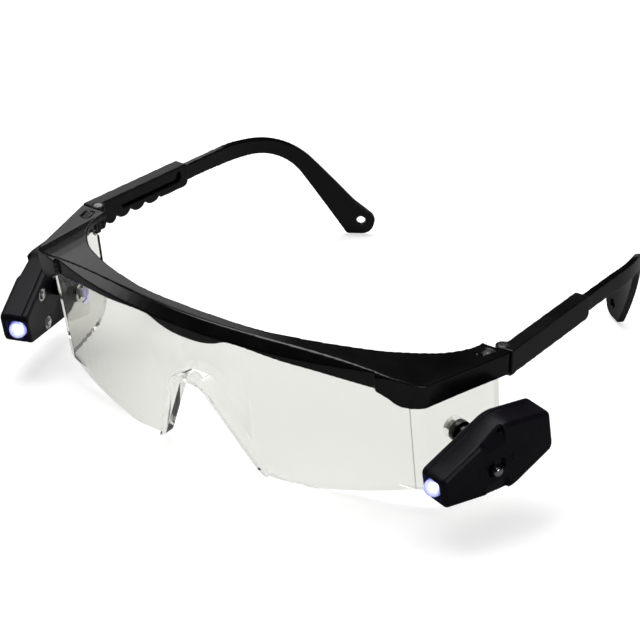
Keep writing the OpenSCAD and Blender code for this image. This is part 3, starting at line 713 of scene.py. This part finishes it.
@dataclass(frozen=True)
class Layout:
    """The sizes in millimetres and angles in degrees that place the pieces.

    They repeat the CAD's own values. The model's Y is the CAD's less middle_y, and its
    Z is the CAD's plus lens_depth.
    """

    middle_y: float = 69.7384
    lens_depth: float = 41.3
    lens_tilt: float = 11.3
    lens_half_w: float = 61.2
    shield_start: float = 12.7
    shield_splay: float = 15.4
    pivot_back: float = 24.4
    pivot_down: float = 24.8
    spacer_l: float = 6.9
    pivot_ahead: float = 3.6
    pivot_up: float = 2.5
    hinge_x: float = 68.2208
    hinge_y: float = 43.5

    def pivot_axes(self) -> np.ndarray:
        """Return the pivot's directions as columns: out, back and up."""
        t, s = math.radians(self.lens_tilt), -math.radians(self.shield_splay)
        lean = np.array(
            [[1, 0, 0], [0, math.cos(t), -math.sin(t)], [0, math.sin(t), math.cos(t)]])
        turn = np.array(
            [[math.cos(s), -math.sin(s), 0], [math.sin(s), math.cos(s), 0], [0, 0, 1]])
        return lean @ turn

    def pivot_place(self) -> np.ndarray:
        """Return the pivot's place on the shield's outer face, in millimetres."""
        t = math.radians(self.lens_tilt)
        x = self.lens_half_w + math.tan(math.radians(self.shield_splay)) * (
            self.pivot_back - self.shield_start)
        y = self.pivot_back * math.cos(t) + self.pivot_down * math.sin(t)
        z = self.pivot_back * math.sin(t) - self.pivot_down * math.cos(t)
        return np.array([x, y - self.middle_y, z + self.lens_depth])

    def from_pivot(self, local: np.ndarray, side: Side) -> np.ndarray:
        """Carry points from the pivot's frame into the model.

        The point p goes to (O + A p) / 1000, with X turned over on the left.

        Args:
            local: Points in millimetres, out, back and up from the pivot.
            side: The side of the glasses.

        Returns:
            The points in metres.
        """
        world = (local @ self.pivot_axes().T + self.pivot_place()) * MM
        return world * np.array([side.value, 1, 1])

    def from_lamp(self, local: np.ndarray, side: Side) -> np.ndarray:
        """Carry points from the lamp's frame into the model.

        Args:
            local: Points in millimetres from the lamp's inner face at its widest place.
            side: The side of the glasses.

        Returns:
            The points in metres.
        """
        shift = np.array([self.spacer_l, self.pivot_ahead, -self.pivot_up])
        return self.from_pivot(local + shift, side)


def turned_rings(profile: np.ndarray, axis: str, around: int = 48) -> np.ndarray:
    """Turn a profile round an axis.

    With the profile's place a and radius r, the point at angle w is a along the axis
    and (r cos w, r sin w) across it.

    Args:
        profile: Places along the axis and radii in millimetres.
        axis: "x" for an axis outwards, "-y" for one forwards or "z" for one upwards.
        around: The number of points in a ring.

    Returns:
        Rings of local points in millimetres.
    """
    w = np.linspace(0, 2 * math.pi, around, endpoint=False)
    along = np.repeat(profile[:, :1], around, 1)
    c, s = profile[:, 1:] * np.cos(w), profile[:, 1:] * np.sin(w)
    if axis == "x":
        return np.stack([along, c, s], -1)
    if axis == "-y":
        return np.stack([c, -along, s], -1)
    return np.stack([c, s, along], -1)


# Sub-assemblies


@dataclass
class Glasses:
    """What every sub-assembly shares: the layout and the finishes."""

    layout: Layout
    rack: FinishRack

    def wear(
        self, piece: bpy.types.Object, material: bpy.types.Material, body: str,
        node: str, slot: str,
    ) -> bpy.types.Object:
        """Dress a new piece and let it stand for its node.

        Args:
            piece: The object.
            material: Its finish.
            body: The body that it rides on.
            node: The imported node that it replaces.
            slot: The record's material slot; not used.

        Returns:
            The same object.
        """
        piece.data.materials.clear()
        piece.data.materials.append(material)
        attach(piece, body)
        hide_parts(node)
        LOG.info("%s stands for %s with %d faces", piece.name, node, len(piece.data.polygons))
        return piece

    def dress_node(self, node: str, material: bpy.types.Material) -> None:
        """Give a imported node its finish.

        Args:
            node: The node's name.
            material: Its finish.
        """
        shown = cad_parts[node]
        if not shown.material_slots:
            shown.data.materials.append(material)
        for slot in shown.material_slots:
            slot.material = material
        LOG.info("%s keeps its shape and takes %s", node, material.name)


@dataclass
class Front(Glasses):
    """The brow frame and the lens."""

    edge_cell_mm: float = 0.3
    edge_passes: int = 6

    def build(self) -> None:
        """Build the frame with moulded edges, and the clear lens."""
        brow = softened_copy("brow_frame", "brow_frame_moulded", self.edge_cell_mm,
                             self.edge_passes)
        self.wear(brow, self.rack.frame_black, "front", "brow_frame", "frame_black")
        lens = smooth_shaded(merged_copy("lens", "lens_polished"), LENS_CREASE)
        self.wear(lens, self.rack.lens_clear, "front", "lens", "lens_clear")


@dataclass
class Temple(Glasses):
    """A folding temple: its sleeve, its sliding arm and the hinge pin."""

    side: Side = Side.RIGHT
    edge_cell_mm: float = 0.2
    sleeve_passes: int = 6
    arm_passes: int = 9
    pin_r: float = 0.8
    pin_head_r: float = 1.3
    pin_head_h: float = 0.4
    pin_dome_h: float = 0.05
    pin_l: float = 7.0

    def build(self) -> None:
        """Build the sleeve, the arm and the pin."""
        name = self.side.prefix
        sleeve = softened_copy(f"{name}_temple_sleeve", f"{name}_sleeve_moulded",
                               self.edge_cell_mm, self.sleeve_passes)
        self.wear(sleeve, self.rack.sleeve_black, f"{name}_temple", f"{name}_temple_sleeve",
                  "sleeve_black")
        arm = softened_copy(f"{name}_temple_arm", f"{name}_arm_moulded",
                            self.edge_cell_mm, self.arm_passes)
        self.wear(arm, self.rack.arm_black, f"{name}_arm", f"{name}_temple_arm", "arm_black")
        self.pin()

    def pin(self) -> bpy.types.Object:
        """Turn the hinge pin with its low domed head.

        Returns:
            The pin.
        """
        profile = rounded_profile([
            (-self.pin_l, 0, 0), (-self.pin_l, self.pin_r, 0.15),
            (-self.pin_head_h, self.pin_r, 0.02), (-self.pin_head_h, self.pin_head_r, 0.05),
            (-self.pin_dome_h, self.pin_head_r, 0.12), (0, 0, 0),
        ])
        rings = turned_rings(profile[1:-1], "z")
        place = np.array([self.layout.hinge_x, self.layout.hinge_y - self.layout.middle_y,
                          self.layout.lens_depth])
        rings = (rings + place) * MM * np.array([self.side.value, 1, 1])
        name = self.side.prefix
        pin = closed_surface(f"{name}_pin_turned", rings, self.side is Side.LEFT)
        return self.wear(pin, self.rack.pin_steel, "front", f"{name}_hinge_pin", "steel_pin")


@dataclass
class Lamp(Glasses):
    """A lamp: its case, diode, switch and the parts inside."""

    side: Side = Side.RIGHT
    case_cell_mm: float = 0.22
    case_passes: int = 8
    lamp_t: float = 8.9
    lamp_nose_l: float = 21.65
    led_r: float = 2.5
    led_in: float = 3.8
    led_set_back: float = 0.65
    led_l: float = 6.1
    flange_r: float = 2.9
    flange_h: float = 1.0
    flange_edge: float = 0.1
    lever_root_in: float = 2.4
    lever_root_r: float = 0.9
    lever_stem_in: float = 1.5
    lever_stem_r: float = 0.7
    lever_head_in: float = 0.6
    lever_r: float = 1.5
    lever_dome_h: float = 0.5
    lever_out: float = 2.3
    lever_back: float = -4.9
    lever_up: float = -1.0

    def build(self) -> None:
        """Build the case, the diode and the lever, and dress the rest."""
        name = self.side.prefix
        body = f"{name}_lamp"
        for node in ("lamp_inner_shell", "lamp_outer_cover"):
            shell = softened_copy(f"{name}_{node}", f"{name}_{node}_moulded",
                                  self.case_cell_mm, self.case_passes)
            self.wear(shell, self.rack.case_black, body, f"{name}_{node}", "case_black")
        screws = smooth_shaded(
            merged_copy(f"{name}_case_screws", f"{name}_case_screws_cut"), SCREW_CREASE)
        self.wear(screws, self.rack.screw_steel, body, f"{name}_case_screws", "screw_steel")
        self.diode()
        self.lever()
        for node, finish in (
            ("circuit_board", self.rack.board_green), ("button_cells", self.rack.cell_steel),
            ("positive_contact", self.rack.contact_brass),
            ("negative_contact", self.rack.contact_brass),
            ("switch_body", self.rack.lever_steel),
        ):
            self.dress_node(f"{name}_{node}", finish)

    def diode(self) -> bpy.types.Object:
        """Turn the diode: a flanged body with a round dome.

        The dome's ring at angle w has the place l + r sin w and the radius r cos w.

        Returns:
            The diode.
        """
        w = np.linspace(0, math.pi / 2, 16)[:-1]
        base = np.array([
            [0, self.flange_r], [self.flange_h - self.flange_edge, self.flange_r],
            [self.flange_h, self.flange_r - self.flange_edge], [self.flange_h, self.led_r],
        ])
        dome = np.stack([self.led_l + self.led_r * np.sin(w), self.led_r * np.cos(w)], -1)
        rings = turned_rings(np.concatenate([base, dome]), "-y")
        led_base = -(self.lamp_nose_l - self.led_set_back) + self.led_l
        rings = rings + np.array([self.led_in, led_base, 0])
        name = self.side.prefix
        led = closed_surface(f"{name}_diode_turned", self.layout.from_lamp(rings, self.side),
                             self.side is Side.LEFT)
        return self.wear(led, self.rack.led_lit, f"{name}_lamp", f"{name}_led", "led_clear")

    def lever(self) -> bpy.types.Object:
        """Turn the switch lever with its domed tip.

        Returns:
            The lever.
        """
        root = self.lamp_t - self.lever_root_in
        stem = self.lamp_t - self.lever_stem_in
        head = self.lamp_t - self.lever_head_in
        tip = self.lamp_t + self.lever_out
        profile = rounded_profile([
            (root, 0, 0), (root, self.lever_root_r, 0.1), (stem, self.lever_root_r, 0.1),
            (stem, self.lever_stem_r, 0.02), (head, self.lever_stem_r, 0.05),
            (head, self.lever_r, 0.15), (tip - self.lever_dome_h, self.lever_r, 0.6),
            (tip, self.lever_stem_r, 0.5), (tip, 0, 0),
        ])
        rings = turned_rings(profile[1:-1], "x") + np.array([0, self.lever_back, self.lever_up])
        name = self.side.prefix
        lever = closed_surface(f"{name}_lever_turned", self.layout.from_lamp(rings, self.side),
                               self.side is Side.LEFT)
        return self.wear(lever, self.rack.lever_steel, f"{name}_switch",
                         f"{name}_switch_lever", "lever_steel")


@dataclass
class Pivot(Glasses):
    """The knob that a lamp turns on, its washer and its screw."""

    side: Side = Side.RIGHT
    knob_r: float = 3.1
    disc_t: float = 2.4
    stem_r: float = 2.3
    neck_r: float = 2.0
    neck_fit: float = 0.05
    snap_r: float = 2.5
    snap_from: float = 1.25
    snap_to: float = 2.35
    snap_taper: float = 0.4
    washer_r: float = 3.0
    washer_t: float = 0.8
    lens_t: float = 2.0

    def build(self) -> None:
        """Turn the knob and the washer, and dress the screw."""
        name = self.side.prefix
        length = self.layout.spacer_l
        shoulder = length - self.neck_fit
        hook, end = length + self.snap_from, length + self.snap_to
        knob = rounded_profile([
            (0, 0, 0), (0, self.knob_r, 0.4), (self.disc_t, self.knob_r, 0.6),
            (self.disc_t, self.stem_r, 0.15), (shoulder, self.stem_r, 0.05),
            (shoulder, self.neck_r, 0.05), (hook, self.neck_r, 0.05),
            (hook, self.snap_r, 0.15), (end, self.snap_r - self.snap_taper, 0.2), (end, 0, 0),
        ])
        self.turn(knob, "knob_turned", self.rack.knob_black, "pivot_knob", "knob_black")
        face = -self.lens_t
        washer = rounded_profile([
            (face - self.washer_t, 0, 0), (face - self.washer_t, self.washer_r, 0.3),
            (face, self.washer_r, 0.1), (face, 0, 0),
        ])
        self.turn(washer, "washer_turned", self.rack.washer_clear, "pivot_washer",
                  "washer_clear")
        screw = smooth_shaded(
            merged_copy(f"{name}_pivot_screw", f"{name}_pivot_screw_cut"), SCREW_CREASE)
        self.wear(screw, self.rack.pivot_steel, "front", f"{name}_pivot_screw", "screw_steel")

    def turn(
        self, profile: np.ndarray, name: str, material: bpy.types.Material, node: str, slot: str,
    ) -> bpy.types.Object:
        """Turn one piece round the pivot.

        Args:
            profile: Places along the pivot and radii in millimetres.
            name: The piece's name without its side.
            material: Its finish.
            node: The node that it stands for, without its side.
            slot: The record's material slot.

        Returns:
            The piece.
        """
        rings = self.layout.from_pivot(turned_rings(profile[1:-1], "x"), self.side)
        side = self.side.prefix
        piece = closed_surface(f"{side}_{name}", rings, self.side is Side.LEFT)
        return self.wear(piece, material, "front", f"{side}_{node}", slot)


# Studio


@dataclass
class Studio:
    """The floor, the soft light and the camera.

    A lift is the light that the paper adds for the camera, for a ray through the lens
    or for a mirrored ray. The aim is in the CAD's millimetres, before it is centred.
    """

    azimuth: float = 36.5
    elevation: float = 28.5
    distance_mm: float = 800.0
    focal_px: float = 2920.0
    frame_px: float = 640.0
    sensor_mm: float = 36.0
    off_right_mm: float = -0.9
    off_up_mm: float = 8.7
    aim_mm: tuple[float, float, float] = (0.0, 55.0, -10.0)
    floor_half: float = 3.0
    floor_gap: float = 0.00005
    lift_seen: float = 0.64
    lift_through: float = 0.4
    lift_mirrored: float = 0.1
    mirror_loss: float = 0.75
    bright_patch: tuple[float, float, float] = (-0.025, -0.042, 0.0)
    patch_r: float = 0.03
    patch_fade_r: float = 0.045
    layout: Layout = field(default_factory=Layout)

    def build(self) -> None:
        """Build the whole studio."""
        self.camera()
        self.floor()
        self.world()
        # Place, aim, size and power of each soft box, in metres and watts.
        self.soft_box("overhead_box", (-0.15, 0.25, 0.9), (0, 0, 0), (1.1, 0.8), 6.0,
                      mirrored=False)
        self.soft_box("edge_box", (-0.3, 0.08, 0.9), (0, 0, 0), (0.9, 0.42), 5.0)
        self.soft_box("front_left_box", (-1.0, -0.25, 0.48), (0, 0, 0), (0.5, 0.5), 1.5)
        self.soft_box("front_right_box", (0.95, -0.35, 0.5), (0, 0, 0), (0.5, 0.6), 2.6)
        self.soft_box("back_left_box", (-0.44, 0.37, 0.30), (-0.06, 0, 0.04), (0.2, 0.3), 0.16)

    def camera(self) -> None:
        """Place the camera at the photograph's angle.

        With azimuth a and elevation e the view looks along -b, where
        b = (sin a cos e, -cos a cos e, sin e).
        """
        a, e = math.radians(self.azimuth), math.radians(self.elevation)
        right = np.array([math.cos(a), math.sin(a), 0])
        back = np.array([math.sin(a) * math.cos(e), -math.cos(a) * math.cos(e), math.sin(e)])
        up = np.cross(back, right)
        shift = np.array([0, -self.layout.middle_y, self.layout.lens_depth])
        place = (np.array(self.aim_mm) + shift - self.off_right_mm * right
                 - self.off_up_mm * up + self.distance_mm * back) * MM
        data = bpy.data.cameras.new("photo_camera")
        data.sensor_width = self.sensor_mm
        data.lens = self.focal_px * self.sensor_mm / self.frame_px
        data.clip_start = 0.01
        data.clip_end = 20.0
        camera = bpy.data.objects.new("photo_camera", data)
        bpy.context.scene.collection.objects.link(camera)
        turned = np.eye(4)
        turned[:3, 0], turned[:3, 1], turned[:3, 2], turned[:3, 3] = right, up, back, place
        camera.matrix_world = turned.T.tolist()
        bpy.context.scene.camera = camera

    def floor(self) -> None:
        """Lay the pale floor, which keeps the soft shadow and is white elsewhere."""
        half = self.floor_half
        mesh = bpy.data.meshes.new("floor")
        mesh.from_pydata(
            [(-half, -half, 0), (half, -half, 0), (half, half, 0), (-half, half, 0)], [],
            [(0, 1, 2, 3)])
        floor = link(mesh, "floor")
        floor.location.z = -self.floor_gap
        material, tree = new_material("white_paper_floor")
        path = add_node(tree, "ShaderNodeLightPath")
        mirrored = add_node(
            tree, "ShaderNodeMath", {"operation": "MULTIPLY"},
            {0: path.outputs["Is Glossy Ray"], 1: self.lift_mirrored})
        through = add_node(
            tree, "ShaderNodeMath", {"operation": "MULTIPLY_ADD"},
            {0: path.outputs["Is Transmission Ray"], 1: self.lift_through,
             2: mirrored.outputs["Value"]})
        lift = add_node(
            tree, "ShaderNodeMath", {"operation": "MULTIPLY_ADD"},
            {0: path.outputs["Is Camera Ray"], 1: self.lift_seen,
             2: through.outputs["Value"]})
        glow = add_node(
            tree, "ShaderNodeEmission", None,
            {"Color": linear("#ffffff"), "Strength": lift.outputs["Value"]})
        paper = add_node(
            tree, "ShaderNodeBsdfDiffuse", None, {"Color": linear("#c4c4c4")})
        lit = add_node(
            tree, "ShaderNodeAddShader", None,
            {0: paper.outputs["BSDF"], 1: glow.outputs["Emission"]})
        # Glossy black pieces mirror only a part of the paper. A ray that has passed the
        # lens counts as glossy too, so it is taken out.
        mirrors = add_node(
            tree, "ShaderNodeMath", {"operation": "SUBTRACT", "use_clamp": True},
            {0: path.outputs["Is Glossy Ray"], 1: path.outputs["Transmission Depth"]})
        # The lens's nose arch, seen along its flank, mirrors the paper right behind it,
        # and that patch stays bright.
        where = add_node(tree, "ShaderNodeTexCoord")
        apart = add_node(
            tree, "ShaderNodeVectorMath", {"operation": "DISTANCE"},
            {0: where.outputs["Object"], 1: self.bright_patch})
        loss = add_node(
            tree, "ShaderNodeMapRange", None,
            {"Value": apart.outputs["Value"], "From Min": self.patch_r,
             "From Max": self.patch_fade_r, "To Min": 0.0, "To Max": self.mirror_loss})
        dimmed = add_node(
            tree, "ShaderNodeMath", {"operation": "MULTIPLY"},
            {0: mirrors.outputs["Value"], 1: loss.outputs["Result"]})
        dark = add_node(tree, "ShaderNodeBsdfDiffuse", None, {"Color": linear("#101010")})
        both = add_node(
            tree, "ShaderNodeMixShader", None,
            {0: dimmed.outputs["Value"], 1: lit.outputs["Shader"], 2: dark.outputs["BSDF"]})
        finish_surface(tree, both.outputs["Shader"])
        mesh.materials.append(material)

    def world(self) -> None:
        """Light the room: white where the camera or the lens looks, dark grey elsewhere."""
        world = bpy.data.worlds.new("studio_room")
        bpy.context.scene.world = world
        world.use_nodes = True
        tree = world.node_tree
        tree.nodes.clear()
        path = add_node(tree, "ShaderNodeLightPath")
        # A ray that is mirrored inside the lens sees the white room as well.
        inside = add_node(
            tree, "ShaderNodeMath", {"operation": "MULTIPLY_ADD"},
            {0: path.outputs["Is Glossy Ray"], 1: path.outputs["Transmission Depth"],
             2: path.outputs["Is Transmission Ray"]})
        seen = add_node(
            tree, "ShaderNodeMath", {"operation": "ADD", "use_clamp": True},
            {0: path.outputs["Is Camera Ray"], 1: inside.outputs["Value"]})
        where = add_node(tree, "ShaderNodeTexCoord")
        height = add_node(tree, "ShaderNodeSeparateXYZ", None,
                          {"Vector": where.outputs["Generated"]})
        room = set_ramp(
            add_node(tree, "ShaderNodeValToRGB", None, {"Fac": height.outputs["Z"]}),
            [(0.0, linear("#161618")), (0.3, linear("#121214")), (0.9, linear("#2c2c2e"))])
        colour = add_node(
            tree, "ShaderNodeMix", {"data_type": "RGBA"},
            {0: seen.outputs["Value"], 6: room, 7: linear("#ffffff")})
        back = add_node(tree, "ShaderNodeBackground", None,
                        {"Color": colour.outputs[2], "Strength": 1.0})
        add_node(tree, "ShaderNodeOutputWorld", None, {"Surface": back.outputs["Background"]})

    def soft_box(
        self, name: str, place: tuple, aim: tuple, size: tuple, power: float,
        mirrored: bool = True,
    ) -> None:
        """Hang one soft box.

        Args:
            name: The light's name.
            place: Where it hangs, in metres.
            aim: The point that it faces.
            size: Its width and height.
            power: Its power in watts.
            mirrored: Whether glossy pieces mirror it.
        """
        data = bpy.data.lights.new(name, "AREA")
        data.shape = "RECTANGLE"
        data.size, data.size_y = size
        data.energy = power
        box = bpy.data.objects.new(name, data)
        box.visible_glossy = mirrored
        bpy.context.scene.collection.objects.link(box)
        back = np.array(place, float) - np.array(aim, float)
        back /= np.linalg.norm(back)
        right = np.cross([0, 0, 1], back)
        right /= np.linalg.norm(right)
        turned = np.eye(4)
        turned[:3, 0], turned[:3, 1] = right, np.cross(back, right)
        turned[:3, 2], turned[:3, 3] = back, place
        box.matrix_world = turned.T.tolist()


def main() -> None:
    """Build the glasses and the studio."""
    logging.basicConfig(level=logging.INFO, format="%(message)s")
    bpy.context.scene.view_settings.view_transform = "Standard"
    layout, rack = Layout(), FinishRack()
    Front(layout, rack).build()
    for side in Side:
        Temple(layout, rack, side).build()
        Pivot(layout, rack, side).build()
        Lamp(layout, rack, side).build()
    Studio().build()
    bpy.context.view_layer.update()


if __name__ == "__main__":
    main()
